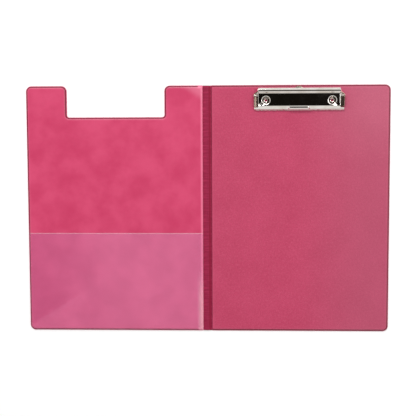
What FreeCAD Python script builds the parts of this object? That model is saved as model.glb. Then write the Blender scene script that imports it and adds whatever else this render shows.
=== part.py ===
"""Fold-over clipboard: a back board and a front cover, both greyboard sealed in vinyl film.

A vinyl spine joins them. The board carries a sprung clamp with a slide-out hanging hook, and the cover a
clear pocket.

Frame: +X from the cover to the board, +Y towards the clamp's edge, +Z up, all in millimetres. The origin
is the centre of the open clipboard's underside. Each film is cut back beside its fold line so that it can
turn there.
"""

import math
import os

import FreeCAD
import Part

V = FreeCAD.Vector

# --- driving dimensions of the folder -------------------------------------------------------------
HEIGHT = 320.0              # top edge to bottom edge
PANEL_WIDTH = 230.0         # one panel, from its fold line to its free edge
SPINE_WIDTH = 10.0          # between the two fold lines
FILM = 0.35                 # vinyl film
BOARD = 2.0                 # greyboard
WELD = 1.8                  # width of the welded rim outside the board's edge
FOLD_GAP = 0.6              # each film stops this far from its fold line
BEAD_RADIUS = 0.3           # pressed seam that turns on the fold line
CORNER = 7.0                # outer corners
NOTCH_WIDTH = 127.0         # cut-out in the cover that clears the clamp
NOTCH_DEPTH = 40.5
NOTCH_CORNER = 3.2          # inner corners of the cut-out
NOTCH_OFFSET = 118.5        # from the spine's middle to the cut-out's middle
POCKET_HEIGHT = 129.0
POCKET_FILM = 0.2
POCKET_SLACK = 0.5          # the empty pocket stands this far off the lining

# --- driving dimensions of the clamp --------------------------------------------------------------
# Places on the clamp are given across from its middle, down from the top edge and up from the board's face.
CLAMP_OFFSET = 118.0        # from the spine's middle to the clamp's middle
STEEL = 0.8                 # sheet of the lever, the base and the hook
LEVER_PATH = [(4.4, 7.0), (5.3, 9.4), (8.6, 9.4), (10.6, 6.8),
              (26.8, 6.8), (30.7, 3.3), (31.2, 1.4), (32.0, 0.85)]
LEVER_BENDS = [0, 3.2, 2.0, 0.9, 1.5, 0.8, 0.6, 0]
LEVER_HALF = 52.4           # half the width of the lever behind its toe
FIELD_UP = 6.8              # middle of the sheet over the flat field
TOE_HALF = 57.4             # half the width of the toe that bites the paper
TOE_START = 28.9
ROD_DOWN = 13.6
ROD_UP = 3.6
ROD_RADIUS = 1.1
ROD_PLAY = 0.06
BASE_BACK = 5.6
BASE_SHOULDER = 11.3        # the base reaches its full width here
BASE_FRONT = 27.8
WAIST_HALF = 50.0           # half the base's width at its back
EAR_HALF = 57.9             # outer face of the base's ears
EAR_STEEL = 1.0
EYELET_DOWN = 19.6
EYELET_HALF = 42.3          # half the distance between the eyelets
EYELET_RADIUS = 2.0
EYELET_BORE = 1.6
EYELET_HEAD = 3.6
EYELET_FLARE = 3.3
FLARE_DEPTH = 0.5           # the eyelets' flares are sunk this far into the board's back
DISH_RADIUS = 5.6           # dished ring in the lever above each eyelet
DISH_BORE = 4.1
DISH_DEPTH = 1.8
HUMP_DOWN = 28.6
HUMP_UP = 3.7
HUMP_RADIUS = 2.9
HUMP_HALF = 14.0
WIRE_RADIUS = 0.5
COIL_PLAY = 0.3             # between the rod and the coils
COIL_START = 11.0
COIL_PITCH = 1.3
COIL_TURNS = 4
COIL_FOOT = (22.0, 1.36)    # the wire's ends, on the base
COIL_CREST = (7.6, 8.42)    # the wire's middle loop, under the thumb edge
HOOK_WIDTH = 14.0
HOOK_TIP = 1.4
HOOK_TAIL = 26.4
HOOK_HOLE = 3.5
HOOK_STOP_WIDTH = 17.6      # the wider tail that stops the hook at the end of its travel
HOOK_STOP_LENGTH = 2.6
HOOK_TRAVEL = 12.0
HOOK_PLAY = 0.3             # all round the hook in its channel
CHANNEL_ROOF = 0.7          # sheet over the channel, drawn thinner than the base

# --- places worked out from them ------------------------------------------------------------------
FOLD = SPINE_WIDTH / 2
TOP = HEIGHT / 2
SEAM = FILM                 # height of the face where the two films meet
FACE = 2 * FILM + BOARD     # height of a panel's inner face
INSET = WELD + FILM         # from a panel's edge to its greyboard's edge
ROD_Y = TOP - ROD_DOWN
ROD_Z = FACE + ROD_UP
NOTCH_X = -NOTCH_OFFSET


def clamp_point(across, down, up):
    """A point from the clamp's middle, the board's top edge and the board's face."""
    return V(CLAMP_OFFSET + across, TOP - down, FACE + up)


def rounded_edges(points, radii, closed=True):
    """Straight edges through the points, with a tangent arc of the given radius at each corner."""
    count = len(points)
    corners = []
    for i, point in enumerate(points):
        if not closed and i in (0, count - 1):
            corners.append((point, None, point))
            continue
        before = (points[i - 1] - point).normalize()
        after = (points[(i + 1) % count] - point).normalize()
        half = before.getAngle(after) / 2
        reach = radii[i] / math.tan(half)
        middle = (before + after).normalize() * (radii[i] / math.sin(half) - radii[i])
        corners.append((point + before * reach, point + middle, point + after * reach))
    edges = []
    for i, (start, middle, end) in enumerate(corners):
        if middle is not None and start.distanceToPoint(end) > 1e-6:
            edges.append(Part.Arc(start, middle, end).toShape())
        last = i == count - 1
        if closed or not last:
            following = corners[(i + 1) % count][0]
            if end.distanceToPoint(following) > 1e-6:
                edges.append(Part.LineSegment(end, following).toShape())
    return edges


def prism(points, radii, low, high):
    """A plate with rounded corners between two heights; the points are (x, y)."""
    outline = rounded_edges([V(x, y, low) for x, y in points], radii)
    return Part.Face(Part.Wire(outline)).extrude(V(0, 0, high - low))


def block(low, high):
    size = high - low
    return Part.makeBox(size.x, size.y, size.z, low)


def moved_points(points, distance):
    """The corners of an open path in the YZ plane, moved sideways to the left of its direction."""
    result = []
    for i, point in enumerate(points):
        sides = []
        if i > 0:
            sides.append(points[i] - points[i - 1])
        if i < len(points) - 1:
            sides.append(points[i + 1] - points[i])
        normals = [V(0, -side.z, side.y).normalize() for side in sides]
        mean = sum(normals, V(0, 0, 0)).normalize()
        result.append(point + mean * (distance / mean.dot(normals[0])))
    return result


def bent_sheet(path, radii, thickness, across_low, across_high):
    """A sheet bent along a path of (down, up) points, between two widths; the radii are its middle's."""
    middle = [clamp_point(across_low, down, up) for down, up in path]
    sides = []
    for sign in (1, -1):
        shifted = moved_points(middle, sign * thickness / 2)
        bends = [0.0] * len(middle)
        for i in range(1, len(middle) - 1):
            first, second = middle[i] - middle[i - 1], middle[i + 1] - middle[i]
            turn = first.y * second.z - first.z * second.y
            bends[i] = radii[i] - math.copysign(thickness / 2, turn) * sign
        sides.append((shifted, rounded_edges(shifted, bends, closed=False)))
    (left, left_edges), (right, right_edges) = sides
    caps = [Part.LineSegment(left[0], right[0]).toShape(), Part.LineSegment(left[-1], right[-1]).toShape()]
    wire = Part.Wire(Part.__sortEdges__(left_edges + right_edges + caps))
    return Part.Face(wire).extrude(V(across_high - across_low, 0, 0))


def across_cylinder(radius, across_low, across_high, down, up):
    return Part.makeCylinder(radius, across_high - across_low, clamp_point(across_low, down, up), V(1, 0, 0))


def upright_cylinder(radius, across, down, low, high):
    """A cylinder at a place on the clamp, between two heights above the table."""
    base = clamp_point(across, down, 0)
    return Part.makeCylinder(radius, high - low, V(base.x, base.y, low), V(0, 0, 1))


# --- the folder -----------------------------------------------------------------------------------
def board_outline(inset):
    """Corners and radii of the back panel, drawn in by a distance."""
    fold_side = FOLD + max(inset, FOLD_GAP)
    free_side = FOLD + PANEL_WIDTH - inset
    end = TOP - inset
    points = [(fold_side, -end), (free_side, -end), (free_side, end), (fold_side, end)]
    outer = max(CORNER - inset, 1.0)
    return points, [0.6, outer, outer, 0.6]


def cover_outline(inset):
    """The same for the cover, with its cut-out."""
    fold_side = -FOLD - max(inset, FOLD_GAP)
    free_side = -FOLD - PANEL_WIDTH + inset
    end = TOP - inset
    left = NOTCH_X - NOTCH_WIDTH / 2 - inset
    right = NOTCH_X + NOTCH_WIDTH / 2 + inset
    floor = TOP - NOTCH_DEPTH - inset
    points = [(fold_side, -end), (fold_side, end), (right, end), (right, floor),
              (left, floor), (left, end), (free_side, end), (free_side, -end)]
    outer, inner = max(CORNER - inset, 1.0), NOTCH_CORNER + inset
    return points, [0.6, 0.6, outer, inner, inner, outer, outer, outer]


def lining(outline):
    """The inner film: flat on the greyboard, down over its edge, and out to the welded rim."""
    rim = prism(*outline(0.0), SEAM, SEAM + FILM)
    tray = prism(*outline(WELD), SEAM, FACE)
    return rim.fuse(tray).cut(prism(*outline(INSET), SEAM, SEAM + BOARD)).removeSplitter()


def eyelet_holes(shape, radius, low, high):
    for side in (-1, 1):
        shape = shape.cut(upright_cylinder(radius, side * EYELET_HALF, EYELET_DOWN, low, high))
    return shape


def make_back_panel():
    outer = prism(*board_outline(0.0), 0, FILM)
    board = prism(*board_outline(INSET), SEAM, SEAM + BOARD)
    board = eyelet_holes(board, EYELET_RADIUS, SEAM, SEAM + BOARD)
    board = eyelet_holes(board, EYELET_FLARE + 0.1, SEAM, SEAM + FLARE_DEPTH)
    inner = eyelet_holes(lining(board_outline), EYELET_RADIUS, 0, FACE)
    return {"back_outer_film": outer, "back_greyboard": board, "back_lining": inner}


def make_cover_panel():
    outer = prism(*cover_outline(0.0), 0, FILM)
    board = prism(*cover_outline(INSET), SEAM, SEAM + BOARD)
    return {"cover_outer_film": outer, "cover_greyboard": board, "cover_lining": lining(cover_outline)}


def make_spine():
    half, end = FOLD - FOLD_GAP, TOP
    points, radii = [(-half, -end), (half, -end), (half, end), (-half, end)], [0.6] * 4
    return {"spine_outer_film": prism(points, radii, 0, SEAM),
            "spine_lining": prism(points, radii, SEAM, SEAM + FILM)}


def make_seams():
    """Round seams on the two fold lines: the films on either side turn about them."""
    seams = {}
    for name, x in (("fold_seam_back", FOLD), ("fold_seam_cover", -FOLD)):
        seams[name] = Part.makeCylinder(BEAD_RADIUS, HEIGHT - 1, V(x, -TOP + 0.5, SEAM), V(0, 1, 0))
    return seams


def make_pocket():
    """Clear film over the lower part of the cover, welded to the rim on three sides and open at the top."""
    mouth = -TOP + POCKET_HEIGHT
    weld_top = SEAM + FILM
    roof = FACE + POCKET_SLACK
    wall = WELD - POCKET_FILM - 0.1

    def plate(inset, low, high):
        fold_side, free_side = -FOLD - max(inset, FOLD_GAP), -FOLD - PANEL_WIDTH + inset
        low_end, high_end = -TOP + inset, mouth + 9
        points = [(fold_side, low_end), (fold_side, high_end), (free_side, high_end), (free_side, low_end)]
        return prism(points, [0.6, 0.6, 0.6, CORNER - inset], low, high)

    film = plate(0.0, weld_top, weld_top + POCKET_FILM).fuse(plate(wall, weld_top, roof + POCKET_FILM))
    film = film.cut(plate(wall + POCKET_FILM, weld_top, roof))
    keep = block(V(-FOLD - PANEL_WIDTH - 1, -TOP - 1, 0), V(0, mouth, FACE + 3))
    return {"clear_pocket": film.common(keep).removeSplitter()}


# --- the clamp ------------------------------------------------------------------------------------
def make_base():
    """Riveted plate with two ears for the rod and a raised channel for the hook."""
    plan = [(-WAIST_HALF, BASE_BACK), (WAIST_HALF, BASE_BACK), (EAR_HALF, BASE_SHOULDER),
            (EAR_HALF, BASE_FRONT), (-EAR_HALF, BASE_FRONT), (-EAR_HALF, BASE_SHOULDER)]
    points = [(CLAMP_OFFSET + across, TOP - down) for across, down in plan]
    base = prism(points, [1.5, 1.5, 1.2, 0.6, 0.6, 1.2], FACE, FACE + STEEL)
    base = add_channel(base)
    for side in (-1, 1):
        outer = side * EAR_HALF - (EAR_STEEL if side > 0 else 0)
        profile = [(BASE_SHOULDER, 0.3), (BASE_SHOULDER, 5.4), (BASE_SHOULDER + 1.4, 6.5), (17.0, 6.2),
                   (BASE_FRONT, 3.4), (BASE_FRONT, 0.3)]
        corners = [clamp_point(outer, down, up) for down, up in profile]
        ear = Part.Face(Part.Wire(rounded_edges(corners, [0.05, 1.2, 1.2, 3.0, 1.2, 0.05])))
        base = base.fuse(ear.extrude(V(EAR_STEEL, 0, 0)))
    base = base.cut(across_cylinder(ROD_RADIUS, -EAR_HALF - 1, EAR_HALF + 1, ROD_DOWN, ROD_UP))
    return eyelet_holes(base, EYELET_RADIUS, FACE - 1, FACE + STEEL + 1).removeSplitter()


def add_channel(base):
    """Raises a channel across the base: wide enough for the hook's tail, narrow where the tail must stop."""
    under = 2 * HOOK_PLAY + STEEL
    wide, narrow = HOOK_STOP_WIDTH / 2 + HOOK_PLAY, HOOK_WIDTH / 2 + HOOK_PLAY
    stop = HOOK_TAIL - HOOK_STOP_LENGTH - HOOK_TRAVEL - HOOK_PLAY
    roof = block(clamp_point(-wide - CHANNEL_ROOF, BASE_FRONT, 0),
                 clamp_point(wide + CHANNEL_ROOF, BASE_BACK, under + CHANNEL_ROOF))
    tail_room = block(clamp_point(-wide, BASE_FRONT + 1, -1), clamp_point(wide, stop, under))
    tongue_room = block(clamp_point(-narrow, BASE_FRONT + 1, -1), clamp_point(narrow, BASE_BACK - 1, under))
    return base.fuse(roof).cut(tail_room).cut(tongue_room)


def make_hook():
    """Flat steel hanging hook with a round end and a nail hole, stopped by its wider tail."""
    low = FACE + HOOK_PLAY
    half, stop_half = HOOK_WIDTH / 2, HOOK_STOP_WIDTH / 2
    neck = HOOK_TAIL - HOOK_STOP_LENGTH
    plan = [(-half, HOOK_TIP), (half, HOOK_TIP), (half, neck), (stop_half, neck), (stop_half, HOOK_TAIL),
            (-stop_half, HOOK_TAIL), (-stop_half, neck), (-half, neck)]
    points = [(CLAMP_OFFSET + across, TOP - down) for across, down in plan]
    hook = prism(points, [half - 0.05, half - 0.05, 0.4, 0.4, 0.4, 0.4, 0.4, 0.4], low, low + STEEL)
    return hook.cut(upright_cylinder(HOOK_HOLE, 0, HOOK_TIP + half, 0, FACE + 5))


def make_eyelets():
    """Tubular eyelets: a domed head on the base, a tube through the board and a flare sunk in its back."""
    head_low, head_high = FACE + STEEL, FACE + STEEL + 0.8
    solids = []
    for side in (-1, 1):
        centre = clamp_point(side * EYELET_HALF, EYELET_DOWN, 0)

        def ring(radius, height):
            return V(centre.x + radius, centre.y, height)

        low, flare_top = SEAM + 0.05, SEAM + FLARE_DEPTH
        profile = [ring(EYELET_BORE, low), ring(EYELET_FLARE, low), ring(EYELET_FLARE, flare_top),
                   ring(EYELET_RADIUS, flare_top), ring(EYELET_RADIUS, head_low),
                   ring(EYELET_HEAD, head_low),
                   ring(EYELET_HEAD, head_high), ring(EYELET_BORE, head_high)]
        outline = rounded_edges(profile, [0.3, 0.1, 0.02, 0.02, 0.02, 0.1, 0.65, 0.7])
        solids.append(Part.Face(Part.Wire(outline)).revolve(V(centre.x, centre.y, 0), V(0, 0, 1), 360))
    return Part.makeCompound(solids)


def make_rod():
    """Steel rod through both ears and the lever's flanges, with rounded ends just proud of the ears."""
    end = EAR_HALF + 0.6
    rod = across_cylinder(ROD_RADIUS, -end, end, ROD_DOWN, ROD_UP)
    return rod.makeFillet(0.35, [edge for edge in rod.Edges if isinstance(edge.Curve, Part.Circle)])


def make_lever():
    """Pressed lever: a rolled thumb edge, a flat field with two dished holes, side flanges, a wide toe."""
    lever = bent_sheet(LEVER_PATH, LEVER_BENDS, STEEL, -LEVER_HALF, LEVER_HALF)
    (shoulder_down, shoulder_up), (knee_down, knee_up) = LEVER_PATH[-4:-2]
    share = (TOE_START - shoulder_down) / (knee_down - shoulder_down)
    toe_path = [(TOE_START, shoulder_up + share * (knee_up - shoulder_up))] + LEVER_PATH[-3:]
    lever = lever.fuse(bent_sheet(toe_path, LEVER_BENDS[-4:], STEEL, -TOE_HALF, TOE_HALF))
    for side in (-1, 1):
        outer = side * LEVER_HALF - (STEEL if side > 0 else 0)
        profile = [(11.2, FIELD_UP), (11.2, 2.6), (12.4, 1.8), (18.0, 1.8), (25.0, 4.6), (25.6, FIELD_UP)]
        corners = [clamp_point(outer, down, up) for down, up in profile]
        flange = Part.Face(Part.Wire(rounded_edges(corners, [0.05, 1.0, 1.0, 3.0, 1.0, 0.05])))
        lever = lever.fuse(flange.extrude(V(STEEL, 0, 0)))
    room = across_cylinder(ROD_RADIUS + ROD_PLAY, -LEVER_HALF - 1, LEVER_HALF + 1, ROD_DOWN, ROD_UP)
    lever = lever.cut(room)
    return add_hump(add_dishes(lever)).removeSplitter()


def add_dishes(lever):
    """Presses a cone down above each eyelet, with a bore at its bottom that the riveting tool passes."""
    top, bottom = FACE + FIELD_UP + STEEL / 2, FACE + FIELD_UP - STEEL / 2
    for side in (-1, 1):
        centre = clamp_point(side * EYELET_HALF, EYELET_DOWN, 0)
        hole = upright_cylinder(DISH_RADIUS, side * EYELET_HALF, EYELET_DOWN, bottom - 1, top + 1)
        lever = lever.cut(hole)
        profile = [(DISH_RADIUS + 0.2, top), (DISH_RADIUS - 0.2, top), (DISH_BORE, top - DISH_DEPTH),
                   (DISH_BORE, bottom - DISH_DEPTH), (DISH_BORE + 0.7, bottom - DISH_DEPTH),
                   (DISH_RADIUS + 0.2, bottom)]
        corners = [V(centre.x + radius, centre.y, height) for radius, height in profile]
        outline = rounded_edges(corners, [0.02, 0.3, 0.3, 0.1, 0.3, 0.02])
        cone = Part.Face(Part.Wire(outline)).revolve(V(centre.x, centre.y, 0), V(0, 0, 1), 360)
        lever = lever.fuse(cone)
    return lever


def add_hump(lever):
    """Presses a blind round-ended hump up in the middle of the shoulder, which stiffens the toe."""
    shells = []
    reach = HUMP_HALF - HUMP_RADIUS
    for radius in (HUMP_RADIUS, HUMP_RADIUS - STEEL):
        shell = across_cylinder(radius, -reach, reach, HUMP_DOWN, HUMP_UP)
        for side in (-1, 1):
            shell = shell.fuse(Part.makeSphere(radius, clamp_point(side * reach, HUMP_DOWN, HUMP_UP)))
        shells.append(shell)
    outer, inner = shells
    middle = [(15.0, FIELD_UP)] + LEVER_PATH[-4:] + [(32.0, -10.0), (15.0, -10.0)]
    corners = [clamp_point(-20, down, up) for down, up in middle]
    below = Part.Face(Part.makePolygon(corners + corners[:1])).extrude(V(40, 0, 0))
    return lever.fuse(outer.cut(below)).cut(inner)


def wire_run(points):
    """Straight lengths of wire through the points, with a small ball at each so that they join."""
    run = None
    for point in points:
        ball = Part.makeSphere(WIRE_RADIUS + 0.03, point)
        run = ball if run is None else run.fuse(ball)
    for start, end in zip(points, points[1:]):
        run = run.fuse(Part.makeCylinder(WIRE_RADIUS, start.distanceToPoint(end), start, end - start))
    return run


def make_spring():
    """Double torsion spring on the rod: its crest lifts the thumb edge and its feet press on the base."""
    radius = ROD_RADIUS + COIL_PLAY + WIRE_RADIUS
    reach_down, reach_up = COIL_CREST[0] - ROD_DOWN, COIL_CREST[1] - ROD_UP
    leave = math.atan2(reach_up, reach_down) + math.acos(radius / math.hypot(reach_down, reach_up))
    turns = COIL_TURNS + (1.5 * math.pi - leave) / (2 * math.pi)
    length = turns * COIL_PITCH
    coil_end = (ROD_DOWN + radius * math.cos(leave), ROD_UP + radius * math.sin(leave))
    coil_start = (ROD_DOWN, ROD_UP - radius)
    spring = None
    for side in (-1, 1):
        helix = Part.makeHelix(COIL_PITCH, length, radius, 0, side > 0)
        section = Part.Circle(V(radius, 0, 0), V(0, 1, 0), WIRE_RADIUS)
        coil = helix.makePipeShell([Part.Wire([section.toShape()])], True, True)
        axes = FreeCAD.Rotation(V(0, -math.cos(leave), math.sin(leave)), V(0, 0, 0), V(side, 0, 0), "ZXY")
        coil.Placement = FreeCAD.Placement(clamp_point(side * COIL_START, ROD_DOWN, ROD_UP), axes)
        outside = side * (COIL_START + length)
        foot = wire_run([clamp_point(outside, *COIL_FOOT), clamp_point(outside, *coil_start)])
        crest = [clamp_point(side * COIL_START, *coil_end), clamp_point(side * COIL_START, *COIL_CREST)]
        half = coil.fuse(foot).fuse(wire_run(crest + [clamp_point(0, *COIL_CREST)]))
        spring = half if spring is None else spring.fuse(half)
    return spring


def main():
    os.makedirs("parts", exist_ok=True)
    nodes = {**make_back_panel(), **make_cover_panel(), **make_spine(), **make_seams(), **make_pocket()}
    nodes["clamp_base"] = make_base()
    nodes["clamp_eyelets"] = make_eyelets()
    nodes["clamp_rod"] = make_rod()
    nodes["clamp_spring"] = make_spring()
    nodes["clamp_lever"] = make_lever()
    nodes["hanging_hook"] = make_hook()
    for name, shape in nodes.items():
        shape.exportStep(f"parts/{name}.step")
        box = shape.BoundBox
        low = f"{box.XMin:.1f},{box.YMin:.1f},{box.ZMin:.2f}"
        high = f"{box.XMax:.1f},{box.YMax:.1f},{box.ZMax:.2f}"
        state = f"solids {len(shape.Solids)} valid {shape.isValid()} volume {shape.Volume:10.2f}"
        print(f"{name:18s} {state} box {low} to {high}")


main()
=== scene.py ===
# %% [markdown]
# # A fold-over clipboard
# Two boards sealed in soft vinyl, a flexible spine between them, and a nickel-plated clamp with a
# sprung lever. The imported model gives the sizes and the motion. This file gives each piece its
# finished shape and surface. Everything is in metres, but most pieces here are drawn in millimetres
# and scaled once, by MM.

# %% Load the frame
import math
import bmesh
import bpy
import numpy as np
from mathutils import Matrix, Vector, noise
from mathutils.geometry import delaunay_2d_cdt


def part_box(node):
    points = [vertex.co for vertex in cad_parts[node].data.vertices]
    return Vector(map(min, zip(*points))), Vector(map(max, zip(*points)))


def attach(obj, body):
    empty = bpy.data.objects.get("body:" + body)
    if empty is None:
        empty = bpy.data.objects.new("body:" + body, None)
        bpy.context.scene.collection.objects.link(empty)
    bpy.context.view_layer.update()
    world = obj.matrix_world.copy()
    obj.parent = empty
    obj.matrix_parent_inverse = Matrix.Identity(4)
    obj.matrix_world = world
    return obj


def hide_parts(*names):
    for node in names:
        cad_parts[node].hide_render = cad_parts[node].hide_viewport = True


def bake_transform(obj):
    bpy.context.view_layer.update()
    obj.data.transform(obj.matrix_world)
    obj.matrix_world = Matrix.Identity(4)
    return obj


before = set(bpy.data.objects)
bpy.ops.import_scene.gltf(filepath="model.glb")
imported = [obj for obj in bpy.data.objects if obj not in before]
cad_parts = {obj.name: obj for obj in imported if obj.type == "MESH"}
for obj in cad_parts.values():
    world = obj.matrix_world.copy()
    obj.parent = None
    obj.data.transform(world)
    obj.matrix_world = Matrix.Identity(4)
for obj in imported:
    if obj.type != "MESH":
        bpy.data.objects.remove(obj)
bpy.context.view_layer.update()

MM = 0.001

# %% [markdown]
# ## Sizes of the folder
# A welded vinyl folder is a stack: outer film, greyboard, inner film. Outside the greyboard the two
# films meet in a flat welded rim. All heights below come from that stack, so that each drawn piece
# sits where the model says.

# %% Sizes of the folder
def middle_of(node, axis):
    """A node's middle along an axis, in millimetres."""
    low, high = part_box(node)
    return (low[axis] + high[axis]) / 2 / MM


def half_size(node, axis):
    low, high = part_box(node)
    return (high[axis] - low[axis]) / 2 / MM


film = 0.35
seam = film  # height where the two films meet
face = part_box("back_lining")[1][2] / MM  # height of a panel's inner face
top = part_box("back_lining")[1][1] / MM  # half the folder's height
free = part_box("back_lining")[1][0] / MM  # from the spine's middle to a panel's free edge
fold = middle_of("fold_seam_back", 0)
rim_gap = 0.6  # each panel's film starts this far from its fold line
shoulder_gap = 0.8  # and rises to its face this far from it
weld = 1.8  # width of the welded rim
corner = 7.0  # outer corners' radius
fold_corner = 0.8  # the corners beside the spine are almost sharp
pocket_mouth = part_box("clear_pocket")[1][1] / MM
clamp_x = middle_of("clamp_lever", 0)
notch = dict(half=63.5, depth=40.5, radius=3.2, middle=-118.5)
print(f"face {face:.2f}, half height {top:.1f}, free edge {free:.1f}, fold {fold:.1f} mm")
print(f"clamp's middle at {clamp_x:.1f} mm")

# %% [markdown]
# ## Outlines that can be drawn in
# Every skin of a panel has the same outline, drawn in by some distance: a rim, a shoulder, a flat
# face. Rounded corners lose radius as they are drawn in, and hollow ones gain it. If each corner
# always gets the same number of points, the rings match one to one and can be joined by clean
# strips of quads.

# %% Outlines
def corner_arc(previous, here, following, radius):
    """The middle, first angle and turn of the arc that rounds a corner."""
    before, after = (previous - here).normalized(), (following - here).normalized()
    half = before.angle(after) / 2
    reach = radius / math.tan(half)
    centre = here + (before + after).normalized() * (radius / math.sin(half))
    start, end = here + before * reach - centre, here + after * reach - centre
    turn = math.atan2(start.x * end.y - start.y * end.x, start.dot(end))
    return centre, math.atan2(start.y, start.x), turn


def rounded_ring(points, radii, arc_points=9, step=4.0, lengths=None):
    """Points round a closed outline with corner arcs; lengths fixes the points on each straight side."""
    count = len(points)
    points = [Vector(p) for p in points]
    arcs = []
    for i in range(count):
        following = points[(i + 1) % count]
        centre, first, turn = corner_arc(points[i - 1], points[i], following, radii[i])
        angles = [first + turn * k / (arc_points - 1) for k in range(arc_points)]
        arcs.append([centre + Vector((math.cos(a), math.sin(a))) * radii[i] for a in angles])
    ring = []
    straights = [(arcs[(i + 1) % count][0] - arcs[i][-1]).length for i in range(count)]
    wanted = lengths or [max(1, round(straight / step)) for straight in straights]
    for i in range(count):
        ring += arcs[i]
        start, end = arcs[i][-1], arcs[(i + 1) % count][0]
        ring += [start.lerp(end, k / wanted[i]) for k in range(1, wanted[i])]
    return ring, wanted


def fold_side(inset):
    """Beside the spine the rim is narrow, so the rings are closer there."""
    if inset < weld:
        return fold + (rim_gap + (shoulder_gap - rim_gap) * inset / weld)
    return fold + (inset - weld + shoulder_gap)


def back_outline(inset):
    inner = fold_side(inset)
    outer, end = free - inset, top - inset
    sharp = max(corner - inset, 1.0)
    points = [(inner, -end), (outer, -end), (outer, end), (inner, end)]
    return points, [fold_corner, sharp, sharp, fold_corner]


def cover_outline(inset):
    inner, outer, end = -fold_side(inset), -free + inset, top - inset
    left, right = notch["middle"] - notch["half"] - inset, notch["middle"] + notch["half"] + inset
    floor = top - notch["depth"] - inset
    sharp, hollow = max(corner - inset, 1.0), notch["radius"] + inset
    points = [(outer, -end), (inner, -end), (inner, end), (right, end), (right, floor), (left, floor),
              (left, end), (outer, end)]
    return points, [sharp, fold_corner, fold_corner, sharp, hollow, hollow, sharp, sharp]


for shape in (back_outline, cover_outline):
    print(shape.__name__, "has", len(rounded_ring(*shape(0))[0]), "points")

# %% [markdown]
# ## A skin from rings
# A skin is a closed shell: rings on its upper side, a filled middle, and the same again below. The
# middle is filled by triangles between evenly spread points, so that the face can be gently uneven,
# as film over board is. Each point also stores how far it is from the edge, which the materials use
# for weld lines, worn edges, and the painted highlight and shade along the edges.

# %% Skins
def fill_middle(ring, spread):
    """Points and triangles inside a ring, with a loose grid of points between."""
    xs, ys = [p.x for p in ring], [p.y for p in ring]
    grid = []
    for i in range(int((max(xs) - min(xs)) / spread) + 1):
        for j in range(int((max(ys) - min(ys)) / spread) + 1):
            grid.append(Vector((min(xs) + spread * (i + 0.5), min(ys) + spread * (j + 0.5))))
    count = len(ring)
    edges = [(i, (i + 1) % count) for i in range(count)]
    made = delaunay_2d_cdt(list(ring) + grid, edges, [list(range(count))], 1, 1e-5)
    return made[0], made[2]


def skin(name, outline, upper, lower, spread=5.0, swell=None):
    """A closed shell over an outline; upper and lower list (distance from the edge, height) inwards."""
    vertices, faces, from_edge = [], [], []
    lengths = rounded_ring(*outline(0.0))[1]
    swell = swell or (lambda x, y: 0.0)

    def side(profile, flip):
        rings = []
        for inset, height in profile:
            ring = rounded_ring(*outline(inset), lengths=lengths)[0]
            fade = min(1.0, max(0.0, (inset - 2.0) / 8.0))
            rings.append(range(len(vertices), len(vertices) + len(ring)))
            vertices.extend((p.x, p.y, height + fade * swell(p.x, p.y)) for p in ring)
            from_edge.extend([inset] * len(ring))
        for a, b in zip(rings, rings[1:]):
            for i in range(len(a)):
                j = (i + 1) % len(a)
                quad = (a[i], a[j], b[j], b[i])
                faces.append(quad[::-1] if flip else quad)
        last = [Vector(vertices[i][:2]) for i in rings[-1]]
        inner, triangles = fill_middle(last, spread)
        height, inset = profile[-1][1], profile[-1][0]
        place = {}
        for k, p in enumerate(inner):
            if k < len(last):
                place[k] = rings[-1][k]
                continue
            place[k] = len(vertices)
            vertices.append((p.x, p.y, height + swell(p.x, p.y)))
            from_edge.append(inset + 5.0)
        for triangle in triangles:
            corners = [place[k] for k in triangle]
            faces.append(corners[::-1] if flip else corners)
        return rings[0]

    high, low = side(upper, False), side(lower, True)
    for i in range(len(high)):
        j = (i + 1) % len(high)
        faces.append((low[i], low[j], high[j], high[i]))
    return new_piece(name, vertices, faces, {"from_edge": from_edge})


def show(name, data):
    """A new object in the scene for a mesh, light or camera."""
    piece = bpy.data.objects.new(name, data)
    bpy.context.scene.collection.objects.link(piece)
    return piece


def new_piece(name, vertices, faces, values=None):
    """A mesh piece from points in millimetres, smooth shaded, with its faces turned outwards."""
    mesh = bpy.data.meshes.new(name)
    mesh.from_pydata([tuple(c * MM for c in v) for v in vertices], [], [tuple(f) for f in faces])
    for key, numbers in (values or {}).items():
        stored = mesh.attributes.new(key, "FLOAT", "POINT")
        stored.data.foreach_set("value", [float(n) for n in numbers])
    mesh.validate()
    work = bmesh.new()
    work.from_mesh(mesh)
    bmesh.ops.delete(work, geom=[v for v in work.verts if not v.link_faces], context="VERTS")
    bmesh.ops.recalc_face_normals(work, faces=work.faces)
    work.to_mesh(mesh)
    work.free()
    mesh.shade_smooth()
    print(f"{name}: {len(mesh.vertices)} points, {len(mesh.polygons)} faces")
    return show(name, mesh)


def wave(x, y, size, seed):
    """Smooth noise about zero, whose swells are about size mm long."""
    return noise.noise(Vector((x / size + seed, y / size - seed, seed * 1.7)))


# %% [markdown]
# ## The two panels
# The inner film is drawn down over the greyboard's edge and welded to the outer film, which stays
# flat. So the inner skin has a rim, a short wall and a rounded shoulder. The cover's film is smooth
# and a little loose, and shows long soft swells. The back board's film is grained and tight.

# %% Panels
rim = [(0.0, seam + 0.12), (0.10, seam + film - 0.04), (0.30, seam + film + 0.02),
       (0.70, seam + film), (weld - 0.35, seam + film - 0.03)]
shoulder = [(weld + 0.00, seam + film + 0.10), (weld + 0.10, seam + 1.0), (weld + 0.25, face - 0.55),
            (weld + 0.50, face - 0.24), (weld + 0.90, face - 0.07), (weld + 1.5, face),
            (weld + 3.0, face), (weld + 7.0, face)]
under = [(0.0, seam), (weld + 0.2, seam + 0.02), (weld + 0.42, seam + 0.25),
         (weld + 0.42, face - film - 0.1), (weld + 0.7, face - film), (weld + 7.0, face - film)]
inner_profile = rim + shoulder


def loose(x, y):
    return 0.16 * wave(x, y, 62.0, 3.1) + 0.10 * wave(x, y * 0.6, 30.0, 8.3)


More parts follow.
